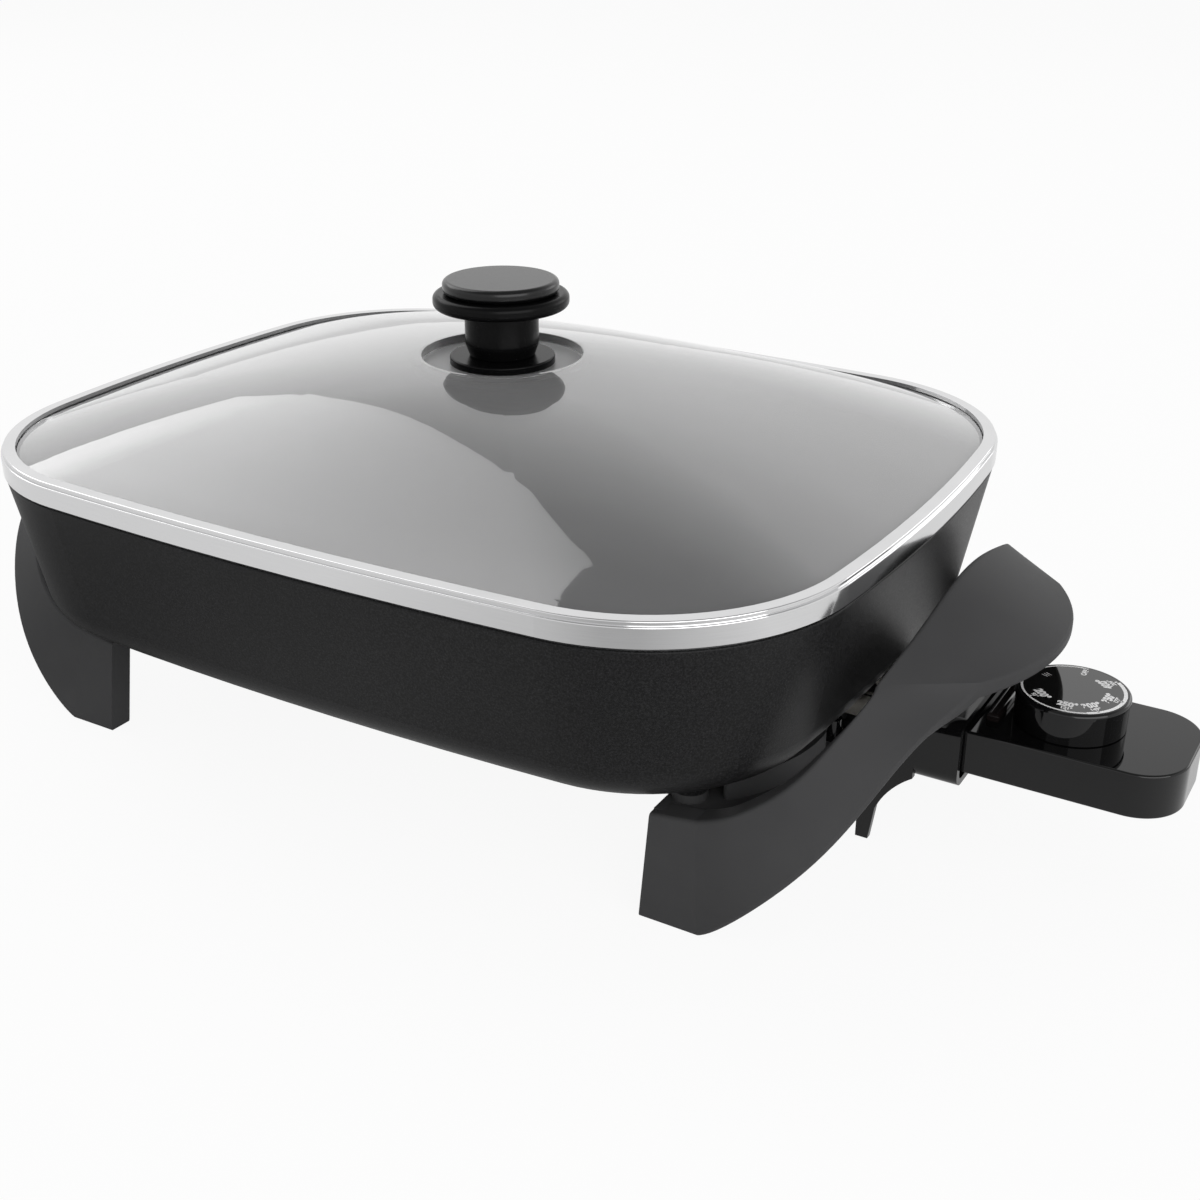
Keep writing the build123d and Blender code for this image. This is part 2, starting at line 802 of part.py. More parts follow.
with BuildPart() as socket_guard:
    # Tunnel that runs on inwards as two cheeks
    with BuildSketch(crosswise(cheek_inner_x)):
        with Locations((0, (guard_bottom_height + guard_top_height) / 2)):
            RectangleRounded(
                2 * guard_half_width, guard_top_height - guard_bottom_height, guard_corner_radius
            )
            RectangleRounded(
                2 * guard_inside_half_width,
                guard_top_height - guard_bottom_height - 2 * guard_wall,
                guard_corner_radius - guard_wall,
                mode=Mode.SUBTRACT,
            )
    extrude(amount=guard_mouth_x - cheek_inner_x)
    with BuildSketch(crosswise(guard_mouth_x - guard_tunnel_length)):
        with Locations((0, (guard_bottom_height + guard_top_height) / 2)):
            Rectangle(2 * guard_inside_half_width, guard_top_height - guard_bottom_height)
    extrude(amount=-(guard_mouth_x - guard_tunnel_length - cheek_inner_x), mode=Mode.SUBTRACT)

    # Shoulders slope down towards the pan
    with BuildSketch(lengthwise(guard_half_width)):
        with BuildLine():
            Polyline(
                (cheek_inner_x, cheek_inner_top),
                (cheek_slope_end, guard_top_height),
                (cheek_inner_x, guard_top_height),
                close=True,
            )
        make_face()
    extrude(amount=2 * guard_half_width, mode=Mode.SUBTRACT)

    # Post under one cheek, arched into the tunnel
    with BuildSketch(lengthwise(guard_half_width)):
        with BuildLine():
            Polyline(
                (post_arch_end, guard_bottom_height),
                (post_arch_end, cheek_inner_top),
                (post_inner_x, cheek_inner_top),
                (post_inner_x, post_floor_gap),
                (post_inner_x + post_toe_width, post_floor_gap),
                (post_inner_x + post_width, post_shoulder_height),
            )
            ThreePointArc(
                (post_inner_x + post_width, post_shoulder_height),
                (post_arch_mid_x, post_arch_mid_height),
                (post_arch_end, guard_bottom_height),
            )
        make_face()
    extrude(amount=guard_wall)

    # Ear on the crossbar, with its screw boss
    with BuildSketch(level(web_top_height)):
        with Locations(
            (guard_ear_end - guard_ear_length / 2, guard_half_width - guard_ear_width / 2)
        ):
            Rectangle(guard_ear_length, guard_ear_width)
    extrude(amount=guard_ear_thickness)
    with BuildSketch(level(web_top_height)):
        with Locations((guard_screw_x, guard_screw_y)):
            Circle(guard_screw_boss_radius)
    extrude(amount=guard_ear_thickness + guard_screw_boss_height)
    mirror(about=Plane.XZ)
    with BuildSketch(level(web_top_height)):
        with Locations((guard_screw_x, -guard_screw_y), (guard_screw_x, guard_screw_y)):
            Circle(guard_screw_radius + press_gap)
    extrude(amount=guard_ear_thickness + guard_screw_boss_height, mode=Mode.SUBTRACT)
socket_guard.part.label = "socket_guard"
export_step(socket_guard.part, "parts/socket_guard.step")

with BuildPart() as guard_screws:
    add(
        screws(
            [(guard_screw_x, -guard_screw_y), (guard_screw_x, guard_screw_y)],
            web_bottom_height,
            guard_screw_radius,
            web_thickness + guard_ear_thickness + guard_screw_boss_height - seat_gap,
            guard_screw_head_radius,
            guard_screw_head_height,
        )
    )
guard_screws.part.label = "guard_screws"
export_step(guard_screws.part, "parts/guard_screws.step")


# ---------------------------------------------------------------- lid

skirt_inner_setback = skirt_setback + skirt_thickness

with BuildPart() as lid_band:
    add(rim_ring(band_seat_setback, skirt_inner_setback, rim_top_height, band_bottom))
    add(rim_ring(0, skirt_inner_setback, band_bottom, gasket_bottom))
    add(rim_ring(0, band_skin, gasket_bottom, band_top, band_edge_fillet))
    add(rim_ring(band_bead_setback, band_width, band_top, bead_top, band_edge_fillet))
    add(rim_ring(skirt_setback, skirt_inner_setback, rim_top_height - skirt_depth, rim_top_height))
lid_band.part.label = "lid_band"
export_step(lid_band.part, "parts/lid_band.step")

with BuildPart() as lid_gasket:
    add(rim_ring(glass_edge_setback, skirt_setback, gasket_bottom, glass_seat_height))
lid_gasket.part.label = "lid_gasket"
export_step(lid_gasket.part, "parts/lid_gasket.step")


def dome_bow(rim_radius, along, across, share):
    """Bow radius part of the way up the dome, its curvature blended from the rim's to an oval's."""
    crown_share = share**dome_bow_power
    oval_radius = glass_crown_bow / glass_crown_radius * along**2 / across
    return 1 / ((1 - crown_share) / rim_radius + crown_share / oval_radius)


def dome(lift):
    """Domed solid inside the band: rim-shaped at its foot, round at its crown."""
    crown_reach = glass_crown_radius / (rim_half_width - band_width)
    sections = []
    for step in range(dome_steps + 1):
        share = step / dome_steps
        reach = 1 - share * (1 - crown_reach)
        rise = glass_rise * (1 - reach**2) / (1 - crown_reach**2)
        half_length = (rim_half_length - band_width) * (1 - share) + glass_crown_radius * share
        half_width = (rim_half_width - band_width) * (1 - share) + glass_crown_radius * share
        sections.append(
            bowed_rectangle(
                half_length,
                half_width,
                dome_bow(long_side_bow_radius - band_width, half_length, half_width, share),
                dome_bow(short_side_bow_radius - band_width, half_width, half_length, share),
                (rim_corner_radius - band_width) * (1 - share) + glass_crown_corner * share,
                glass_rim_height + lift + rise,
            )
        )
    with BuildPart() as cap:
        loft(sections=sections)
    return cap.part


with BuildPart() as lid_glass:
    add(dome(0))
    extrude(rim_outline(glass_edge_setback, glass_seat_height), amount=glass_thickness)
    add(dome(-glass_thickness), mode=Mode.SUBTRACT)

    # Flat seat for the knob
    with BuildSketch(level(recess_underside)):
        Circle(recess_radius + glass_thickness)
    extrude(amount=glass_thickness + recess_depth / 2)
    with BuildSketch(level(recess_floor)):
        Circle(recess_radius)
    extrude(amount=recess_depth + cut_margin, mode=Mode.SUBTRACT)
    with BuildSketch(level(recess_underside)):
        Circle(lid_bore_radius)
    extrude(amount=glass_thickness, mode=Mode.SUBTRACT)
lid_glass.part.label = "lid_glass"
export_step(lid_glass.part, "parts/lid_glass.step")

# ---------------------------------------------------------------- lid knob

knob_axis = Axis((pan_x, 0, 0), (0, 0, 1))
knob_bore_radius = knob_screw_radius + slip_clearance
seal_pocket_radius = knob_seal_radius + slip_clearance

with BuildPart() as knob_base:
    with BuildSketch(level(recess_floor)):
        Circle(knob_base_radius)
    extrude(amount=knob_base_height)
    fillet(knob_base.edges().group_by(Axis.Z)[-1], radius=rim_edge_fillet)
    with BuildSketch(level(recess_floor)):
        Circle(seal_pocket_radius)
    extrude(amount=knob_seal_thickness, mode=Mode.SUBTRACT)
    with BuildSketch(level(recess_floor)):
        Circle(knob_bore_radius)
    extrude(amount=knob_base_height, mode=Mode.SUBTRACT)
knob_base.part.label = "knob_base"
export_step(knob_base.part, "parts/knob_base.step")

with BuildPart() as knob_grip:
    with BuildSketch(lengthwise(0)):
        with BuildLine():
            FilletPolyline(
                (0, knob_stem_bottom),
                (knob_stem_foot_radius, knob_stem_bottom),
                (knob_stem_radius, knob_stem_bottom + knob_stem_foot_height),
                (knob_stem_radius, knob_flange_bottom),
                (knob_flange_radius, knob_flange_bottom),
                (knob_flange_radius, knob_cap_bottom),
                (0, knob_cap_bottom),
                radius=[
                    knob_foot_fillet,
                    knob_stem_bend,
                    knob_neck_fillet,
                    knob_flange_edge,
                    knob_flange_edge,
                ],
            )
            Line((0, knob_cap_bottom), (0, knob_stem_bottom))
        make_face()
    revolve(axis=knob_axis)
    with BuildSketch(level(knob_stem_bottom)):
        Circle(knob_insert_radius + press_gap)
    extrude(amount=knob_insert_length, mode=Mode.SUBTRACT)
    with BuildSketch(level(knob_cap_bottom)):
        Circle(knob_peg_radius + press_gap)
    extrude(amount=-(knob_peg_length + press_gap), mode=Mode.SUBTRACT)
knob_grip.part.label = "knob_grip"
export_step(knob_grip.part, "parts/knob_grip.step")

with BuildPart() as knob_cap:
    with BuildSketch(lengthwise(0)):
        with BuildLine():
            FilletPolyline(
                (0, knob_cap_bottom),
                (knob_cap_radius, knob_cap_bottom),
                (knob_cap_radius, knob_cap_bottom + knob_cap_thickness),
                (0, knob_cap_bottom + knob_cap_thickness),
                radius=[knob_cap_edge, knob_cap_edge],
            )
            Line((0, knob_cap_bottom + knob_cap_thickness), (0, knob_cap_bottom))
        make_face()
    revolve(axis=knob_axis)
    with BuildSketch(level(knob_cap_bottom)):
        Circle(knob_peg_radius)
    extrude(amount=-knob_peg_length)
knob_cap.part.label = "knob_cap"
export_step(knob_cap.part, "parts/knob_cap.step")

with BuildPart() as knob_insert:
    with BuildSketch(level(knob_stem_bottom)):
        Circle(knob_insert_radius)
        Circle(knob_screw_radius + press_gap, mode=Mode.SUBTRACT)
    extrude(amount=knob_insert_length - press_gap)
knob_insert.part.label = "knob_insert"
export_step(knob_insert.part, "parts/knob_insert.step")

with BuildPart() as knob_screw:
    add(
        screws(
            [(0, 0)],
            knob_washer_bottom,
            knob_screw_radius,
            knob_stem_bottom + knob_screw_reach - knob_washer_bottom,
            knob_screw_head_radius,
            knob_screw_head_height,
        )
    )
knob_screw.part.label = "knob_screw"
export_step(knob_screw.part, "parts/knob_screw.step")

with BuildPart() as knob_washer:
    with BuildSketch(level(knob_washer_bottom)):
        Circle(knob_washer_radius)
        Circle(knob_bore_radius, mode=Mode.SUBTRACT)
    extrude(amount=knob_washer_thickness)
knob_washer.part.label = "knob_washer"
export_step(knob_washer.part, "parts/knob_washer.step")

with BuildPart() as knob_seals:
    for seal_bottom in (knob_seal_bottom, recess_floor):
        with BuildSketch(level(seal_bottom)):
            Circle(knob_seal_radius)
            Circle(knob_bore_radius, mode=Mode.SUBTRACT)
        extrude(amount=knob_seal_thickness)
knob_seals.part.label = "knob_seals"
export_step(knob_seals.part, "parts/knob_seals.step")


# ---------------------------------------------------------------- heat control shells

def control_outline(inset, height):
    """Plan outline of the control, round at its outer end, moved inwards by inset."""
    with BuildSketch(level(height)) as outline:
        with Locations(((control_inner_x + control_end_x) / 2, 0)):
            Rectangle(
                control_end_x - control_inner_x - 2 * inset, 2 * (control_half_width - inset)
            )
        fillet(outline.vertices().group_by(Axis.X)[-1], radius=control_end_radius - inset)
    return outline.sketch


control_post_places = [
    (control_post_x, -control_post_y),
    (control_post_x, control_post_y),
    (control_rear_post_x, -control_rear_post_y),
    (control_rear_post_x, control_rear_post_y),
]
clamp_screw_places = [
    (cord_inlet_x - clamp_screw_spacing / 2, clamp_y),
    (cord_inlet_x + clamp_screw_spacing / 2, clamp_y),
]
grommet_radius = cord_inlet_radius + grommet_wall

with BuildPart() as control_housing:
    extrude(control_outline(0, control_seam), amount=control_top - control_seam)
    fillet(control_housing.faces().sort_by(Axis.Z)[-1].edges(), radius=control_edge_fillet)
    extrude(
        control_outline(control_wall, control_seam),
        amount=control_ceiling - control_seam,
        mode=Mode.SUBTRACT,
    )
    # Screw posts and the dial's bush, both down from the ceiling
    with BuildSketch(level(control_seam)):
        with Locations(*control_post_places):
            Circle(control_post_radius)
            Circle(control_screw_radius + press_gap, mode=Mode.SUBTRACT)
    extrude(amount=control_ceiling - control_seam)
    with BuildSketch(level(bush_bottom)):
        with Locations((dial_x, 0)):
            Circle(dial_bush_radius)
    extrude(amount=dial_bush_length)
    with BuildSketch(level(bush_bottom)):
        with Locations((dial_x, 0)):
            Circle(dial_shaft_radius + running_clearance)
    extrude(amount=dial_bush_length + control_wall, mode=Mode.SUBTRACT)
    # Slot for the pilot lens
    with BuildSketch(level(control_ceiling)):
        with Locations((lens_x, 0)):
            Rectangle(lens_width + 2 * slip_clearance, lens_length + 2 * slip_clearance)
    extrude(amount=control_wall, mode=Mode.SUBTRACT)
    # Ports for the probe and the pins
    with BuildSketch(crosswise(control_inner_x)):
        with Locations((0, heater_height)):
            Circle(probe_radius + press_gap)
        with Locations((-terminal_y, heater_height), (terminal_y, heater_height)):
            Circle(terminal_pin_radius + terminal_port_clearance)
    extrude(amount=control_wall, mode=Mode.SUBTRACT)
    # Cord inlet
    with BuildSketch(lengthwise(control_half_width)):
        with Locations((cord_inlet_x, cord_inlet_height)):
            Circle(grommet_radius + press_gap)
    extrude(amount=control_wall, mode=Mode.SUBTRACT)
control_housing.part.label = "control_housing"
export_step(control_housing.part, "parts/control_housing.step")

with BuildPart() as control_base:
    extrude(control_outline(0, control_bottom_height), amount=control_base_thickness)
    fillet(control_base.faces().sort_by(Axis.Z)[0].edges(), radius=control_edge_fillet)
    with BuildSketch(level(control_seam)):
        with Locations(*clamp_screw_places):
            Circle(clamp_post_radius)
    extrude(amount=clamp_bottom - control_seam)
    with BuildSketch(level(clamp_bottom)):
        with Locations(*clamp_screw_places):
            Circle(clamp_screw_radius + press_gap)
    extrude(amount=-(clamp_bottom - control_seam), mode=Mode.SUBTRACT)
    with BuildSketch(level(control_bottom_height)):
        with Locations(*control_post_places):
            Circle(control_screw_radius + slip_clearance)
    extrude(amount=control_base_thickness, mode=Mode.SUBTRACT)
    with BuildSketch(level(control_bottom_height)):
        with Locations(*control_post_places):
            Circle(control_screw_head_radius + slip_clearance)
    extrude(amount=control_screw_head_height, mode=Mode.SUBTRACT)
control_base.part.label = "control_base"
export_step(control_base.part, "parts/control_base.step")

with BuildPart() as control_screws:
    add(
        screws(
            control_post_places,
            control_bottom_height + control_screw_head_height,
            control_screw_radius,
            control_screw_length,
            control_screw_head_radius,
            control_screw_head_height,
        )
    )
control_screws.part.label = "control_screws"
export_step(control_screws.part, "parts/control_screws.step")

# ---------------------------------------------------------------- probe and sockets

with BuildPart() as probe_tube:
    with BuildSketch(crosswise(probe_tip)):
        with Locations((0, heater_height)):
            Circle(probe_radius)
    extrude(amount=probe_plate_x + 2 * probe_plate_thickness - probe_tip)
    fillet(probe_tube.edges().group_by(Axis.X)[0], radius=probe_radius / 2)
    with BuildSketch(crosswise(probe_tip + sensor_rod_gap / 2)):
        with Locations((0, heater_height)):
            Circle(probe_radius - probe_wall)
    extrude(
        amount=probe_plate_x + 2 * probe_plate_thickness - probe_tip - sensor_rod_gap / 2,
        mode=Mode.SUBTRACT,
    )
probe_tube.part.label = "probe_tube"
export_step(probe_tube.part, "parts/probe_tube.step")

with BuildPart() as probe_plate:
    with BuildSketch(level(control_seam)):
        with Locations((probe_plate_x + probe_plate_thickness / 2, 0)):
            Rectangle(probe_plate_thickness, 2 * (control_inside_half_width - seat_gap))
    extrude(amount=control_ceiling - control_seam - seat_gap)
    with BuildSketch(crosswise(probe_plate_x)):
        with Locations((0, heater_height)):
            Circle(probe_radius + press_gap)
        with Locations((-terminal_y, heater_height), (terminal_y, heater_height)):
            Circle(socket_radius + press_gap)
    extrude(amount=probe_plate_thickness, mode=Mode.SUBTRACT)
probe_plate.part.label = "probe_plate"
export_step(probe_plate.part, "parts/probe_plate.step")

with BuildPart() as sensor_rod:
    with BuildSketch(crosswise(probe_tip + sensor_rod_gap)):
        with Locations((0, heater_height)):
            Circle(sensor_rod_radius)
    extrude(amount=contact_tab_x - slip_clearance - probe_tip - sensor_rod_gap)
sensor_rod.part.label = "sensor_rod"
export_step(sensor_rod.part, "parts/sensor_rod.step")

with BuildPart() as terminal_sockets:
    with BuildSketch(crosswise(socket_start)):
        with Locations((-terminal_y, heater_height), (terminal_y, heater_height)):
            Circle(socket_radius)
    extrude(amount=socket_length)
    with BuildSketch(crosswise(socket_start)):
        with Locations((-terminal_y, heater_height), (terminal_y, heater_height)):
            Circle(terminal_pin_radius + socket_bore_clearance)
    extrude(amount=socket_length - socket_back, mode=Mode.SUBTRACT)
terminal_sockets.part.label = "terminal_sockets"
export_step(terminal_sockets.part, "parts/terminal_sockets.step")

# ---------------------------------------------------------------- thermostat

arm_middle = arm_offset + arm_width / 2
block_middle_x = block_x + block_length / 2

with BuildPart() as terminal_block:
    with BuildSketch(level(control_seam)):
        with Locations((block_middle_x, 0)):
            Rectangle(block_length, 2 * block_half_width)
    extrude(amount=block_step_height)
    with BuildSketch(level(block_low_top)):
        with Locations((block_middle_x, arm_middle)):
            Rectangle(block_length, arm_width)
    extrude(amount=block_rise)
    with BuildSketch(level(control_seam)):
        with Locations((block_middle_x, -arm_middle), (block_middle_x, arm_middle)):
            Circle(rivet_radius + press_gap)
    extrude(amount=block_step_height + block_rise, mode=Mode.SUBTRACT)
terminal_block.part.label = "terminal_block"
export_step(terminal_block.part, "parts/terminal_block.step")

with BuildPart() as contact_arm:
    with BuildSketch(level(block_low_top)):
        with Locations(((contact_tab_x + contact_arm_end) / 2, -arm_middle)):
            Rectangle(contact_arm_end - contact_tab_x, arm_width)
        with Locations((contact_rivet_x, -arm_middle), (block_middle_x, -arm_middle)):
            Circle(rivet_radius + press_gap, mode=Mode.SUBTRACT)
    extrude(amount=arm_thickness)
    # Upturned tab that the sensor rod pushes
    with BuildSketch(level(block_low_top)):
        with Locations((contact_tab_x + arm_thickness / 2, -arm_width / 2)):
            Rectangle(arm_thickness, arm_width + 2 * arm_offset)
    extrude(amount=contact_tab_height)
contact_arm.part.label = "contact_arm"
export_step(contact_arm.part, "parts/contact_arm.step")

with BuildPart() as setting_arm:
    with BuildSketch(level(block_high_top)):
        with Locations(((block_x + setting_arm_end) / 2, arm_middle)):
            Rectangle(setting_arm_end - block_x, arm_width)
        with Locations((contact_rivet_x, 0)):
            Rectangle(setting_cross_length, 2 * (arm_offset + arm_width))
        with Locations((block_middle_x, arm_middle)):
            Circle(rivet_radius + press_gap, mode=Mode.SUBTRACT)
    extrude(amount=arm_thickness)
setting_arm.part.label = "setting_arm"
export_step(setting_arm.part, "parts/setting_arm.step")

with BuildPart() as contact_rivets:
    for rivet_y, arm_bottom in ((-arm_middle, block_low_top), (arm_middle, block_high_top)):
        with BuildSketch(level(control_seam)):
            with Locations((block_middle_x, rivet_y)):
                Circle(rivet_radius)
        extrude(amount=arm_bottom + arm_thickness - control_seam)
        with BuildSketch(level(arm_bottom + arm_thickness)):
            with Locations((block_middle_x, rivet_y)):
                Circle(rivet_head_radius)
        extrude(amount=rivet_head_height)
    # Contact button under the setting arm
    with BuildSketch(level(block_low_top)):
        with Locations((contact_rivet_x, -arm_middle)):
            Circle(rivet_radius)
    extrude(amount=arm_thickness)
    with BuildSketch(level(block_low_top + arm_thickness)):
        with Locations((contact_rivet_x, -arm_middle)):
            Circle(rivet_head_radius)
    extrude(amount=block_rise - arm_thickness - seat_gap)
contact_rivets.part.label = "contact_rivets"
export_step(contact_rivets.part, "parts/contact_rivets.step")

# ---------------------------------------------------------------- pilot light

with BuildPart() as pilot_lens:
    with BuildSketch(level(control_ceiling)):
        with Locations((lens_x, 0)):
            Rectangle(lens_width, lens_length)
    extrude(amount=control_wall + lens_height)
    fillet(pilot_lens.faces().sort_by(Axis.Z)[-1].edges(), radius=lens_edge_fillet)
    with BuildSketch(level(lens_lip_bottom)):
        with Locations((lens_x, 0)):
            Rectangle(lens_width + 2 * lens_lip, lens_length + 2 * lens_lip)
    extrude(amount=lens_lip_thickness)
pilot_lens.part.label = "pilot_lens"
export_step(pilot_lens.part, "parts/pilot_lens.step")

with BuildPart() as pilot_lamp:
    with BuildSketch(lengthwise(lamp_length / 2)):
        with Locations((lens_x, lens_lip_bottom - slip_clearance - lamp_radius)):
            Circle(lamp_radius)
    extrude(amount=lamp_length)
    fillet(pilot_lamp.edges().filter_by(GeomType.CIRCLE), radius=lamp_radius / 2)
pilot_lamp.part.label = "pilot_lamp"
export_step(pilot_lamp.part, "parts/pilot_lamp.step")

# ---------------------------------------------------------------- cord inlet

grommet_flange_radius = grommet_radius + grommet_flange

with BuildPart() as cord_grommet:
    with BuildSketch(lengthwise(control_half_width)):
        with Locations((cord_inlet_x, cord_inlet_height)):
            Circle(grommet_radius)
    extrude(amount=control_wall)
    for flange_y in (control_half_width + grommet_flange_thickness, control_inside_half_width):
        with BuildSketch(lengthwise(flange_y)):
            with Locations((cord_inlet_x, cord_inlet_height)):
                Circle(grommet_flange_radius)
        extrude(amount=grommet_flange_thickness)
    with BuildSketch(lengthwise(control_half_width + grommet_flange_thickness)):
        with Locations((cord_inlet_x, cord_inlet_height)):
            Circle(cord_inlet_radius)
    extrude(amount=control_wall + 2 * grommet_flange_thickness, mode=Mode.SUBTRACT)
cord_grommet.part.label = "cord_grommet"
export_step(cord_grommet.part, "parts/cord_grommet.step")

with BuildPart() as cord_clamp:
    with BuildSketch(level(clamp_bottom)):
        with Locations((cord_inlet_x, clamp_y)):
            Rectangle(clamp_length, clamp_width)
        with Locations(*clamp_screw_places):
            Circle(clamp_screw_radius + slip_clearance, mode=Mode.SUBTRACT)
    extrude(amount=clamp_thickness)
cord_clamp.part.label = "cord_clamp"
export_step(cord_clamp.part, "parts/cord_clamp.step")

with BuildPart() as clamp_screws:
    add(
        screws(
            clamp_screw_places,
            clamp_top,
            clamp_screw_radius,
            clamp_top - control_seam - seat_gap,
            clamp_screw_head_radius,
            clamp_screw_head_height,
            drive=-1,
        )
    )
clamp_screws.part.label = "clamp_screws"
export_step(clamp_screws.part, "parts/clamp_screws.step")

with BuildPart() as lead_wires:
    for side in (-1, 1):
        wire_x = cord_inlet_x - side * lead_wire_spacing / 2
        with BuildLine(level(heater_height)) as wire_run:
            FilletPolyline(
                (socket_end, side * terminal_y),
                (wire_x, side * terminal_y),
                (wire_x, clamp_y + clamp_width / 2),
                radius=lead_wire_bend,
            )
        with BuildSketch(crosswise(socket_end)):
            with Locations((side * terminal_y, heater_height)):
                Circle(lead_wire_radius)
        sweep(path=wire_run.line)
lead_wires.part.label = "lead_wires"
export_step(lead_wires.part, "parts/lead_wires.step")

# ---------------------------------------------------------------- temperature dial

dial_skirt_radius = dial_radius - dial_rim_overhang

with BuildPart() as dial_knob:
    with BuildSketch(level(dial_bottom)):
        with Locations((dial_x, 0)):
            Circle(dial_skirt_radius)
    extrude(amount=dial_top - dial_rim_height - dial_bottom)
    with BuildSketch(level(dial_top - dial_rim_height)):
        with Locations((dial_x, 0)):
            Circle(dial_radius)
    extrude(amount=dial_rim_height)
    fillet(dial_knob.edges().group_by(Axis.Z)[-1], radius=dial_edge_fillet)
    # Hollow underneath, round the hub
    with BuildSketch(level(dial_bottom)):
        with Locations((dial_x, 0)):
            Circle(dial_skirt_radius - dial_wall)
            Circle(dial_hub_radius, mode=Mode.SUBTRACT)
    extrude(amount=dial_plate_bottom - dial_wall - dial_bottom, mode=Mode.SUBTRACT)
    with BuildSketch(level(dial_bottom)):
        with Locations((dial_x, 0)):
            Circle(dial_shaft_radius + press_gap)
    extrude(amount=dial_shaft_grip, mode=Mode.SUBTRACT)
    with BuildSketch(level(dial_plate_bottom)):
        with Locations((dial_x, 0)):
            Circle(dial_plate_radius + press_gap)
    extrude(amount=dial_plate_thickness, mode=Mode.SUBTRACT)
dial_knob.part.label = "dial_knob"
export_step(dial_knob.part, "parts/dial_knob.step")

with BuildPart() as dial_plate:
    with BuildSketch(level(dial_plate_bottom)):
        with Locations((dial_x, 0)):
            Circle(dial_plate_radius)
    extrude(amount=dial_plate_thickness)
dial_plate.part.label = "dial_plate"
export_step(dial_plate.part, "parts/dial_plate.step")

dial_clip_top = bush_bottom - slip_clearance
dial_groove_radius = dial_shaft_radius - dial_clip_groove

with BuildPart() as dial_shaft:
    with BuildSketch(level(dial_shaft_bottom)):
        with Locations((dial_x, 0)):
            Circle(dial_shaft_radius)
    extrude(amount=dial_shaft_top - dial_shaft_bottom)
    with BuildSketch(level(dial_clip_top)):
        with Locations((dial_x, 0)):
            Circle(dial_shaft_radius + cut_margin)
            Circle(dial_groove_radius, mode=Mode.SUBTRACT)
    extrude(amount=-dial_clip_thickness, mode=Mode.SUBTRACT)
dial_shaft.part.label = "dial_shaft"
export_step(dial_shaft.part, "parts/dial_shaft.step")

with BuildPart() as dial_clip:
    with BuildSketch(level(dial_clip_top)):
        with Locations((dial_x, 0)):
            Circle(dial_clip_radius)
            Circle(dial_groove_radius + press_gap, mode=Mode.SUBTRACT)
        with Locations((dial_x + dial_clip_radius, 0)):
            Rectangle(2 * dial_clip_radius, dial_groove_radius, mode=Mode.SUBTRACT)
    extrude(amount=-dial_clip_thickness)
dial_clip.part.label = "dial_clip"
export_step(dial_clip.part, "parts/dial_clip.step")
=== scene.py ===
"""Electric skillet with a glass lid and a plug-in heat control: finishes, print, light and camera."""
import json
from math import cos, radians, sin

import bmesh
import bpy
from mathutils import Matrix, Vector


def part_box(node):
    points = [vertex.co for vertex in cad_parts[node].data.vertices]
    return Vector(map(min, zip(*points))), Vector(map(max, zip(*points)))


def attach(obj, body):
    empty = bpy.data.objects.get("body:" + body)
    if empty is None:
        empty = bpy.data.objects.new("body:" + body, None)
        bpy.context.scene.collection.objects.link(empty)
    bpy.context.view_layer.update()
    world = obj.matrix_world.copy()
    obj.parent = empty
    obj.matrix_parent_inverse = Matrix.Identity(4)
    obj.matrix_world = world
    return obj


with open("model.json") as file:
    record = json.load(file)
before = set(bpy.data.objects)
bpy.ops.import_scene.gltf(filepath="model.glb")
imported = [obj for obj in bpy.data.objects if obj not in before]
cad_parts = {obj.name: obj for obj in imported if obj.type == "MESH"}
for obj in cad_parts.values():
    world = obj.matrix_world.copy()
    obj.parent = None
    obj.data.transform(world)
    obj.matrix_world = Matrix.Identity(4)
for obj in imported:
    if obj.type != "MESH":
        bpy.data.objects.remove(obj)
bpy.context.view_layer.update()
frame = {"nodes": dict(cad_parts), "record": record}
nodes = frame["nodes"]


# ---------------------------------------------------------------- camera

film_width = 36
focal_length = 48.04
eye = Vector((0.33749, -0.53247, 0.34537))
view_line = Vector((-0.46337, 0.78037, -0.41990))


def hang(name, data, place, target):
    """A camera or lamp at a place, looking at a target."""
    thing = bpy.data.objects.new(name, data)
    thing.location = place
    thing.rotation_euler = (Vector(target) - Vector(place)).to_track_quat("-Z", "Y").to_euler()
    bpy.context.scene.collection.objects.link(thing)
    return thing


lens = bpy.data.cameras.new("camera")
lens.sensor_width = film_width
lens.lens = focal_length
camera = hang("camera", lens, eye, eye + view_line)
bpy.context.scene.camera = camera
bpy.context.scene.view_settings.view_transform = "Standard"


# ---------------------------------------------------------------- shader maths

class Value:
    """A number, colour or shader of a node tree; arithmetic on numbers adds Math nodes."""

    def __init__(self, web, socket):
        self.web = web
        self.socket = socket

    def joined(self, operation, first, second):
        """The result of a Math node on two values."""
        return self.web.node("ShaderNodeMath", {"operation": operation}, (first, second))

    def __add__(self, other):
        return self.joined("ADD", self, other)

    def __radd__(self, other):
        return self.joined("ADD", other, self)

    def __sub__(self, other):
        return self.joined("SUBTRACT", self, other)

    def __rsub__(self, other):
        return self.joined("SUBTRACT", other, self)

    def __mul__(self, other):
        return self.joined("MULTIPLY", self, other)

    def __rmul__(self, other):
        return self.joined("MULTIPLY", other, self)


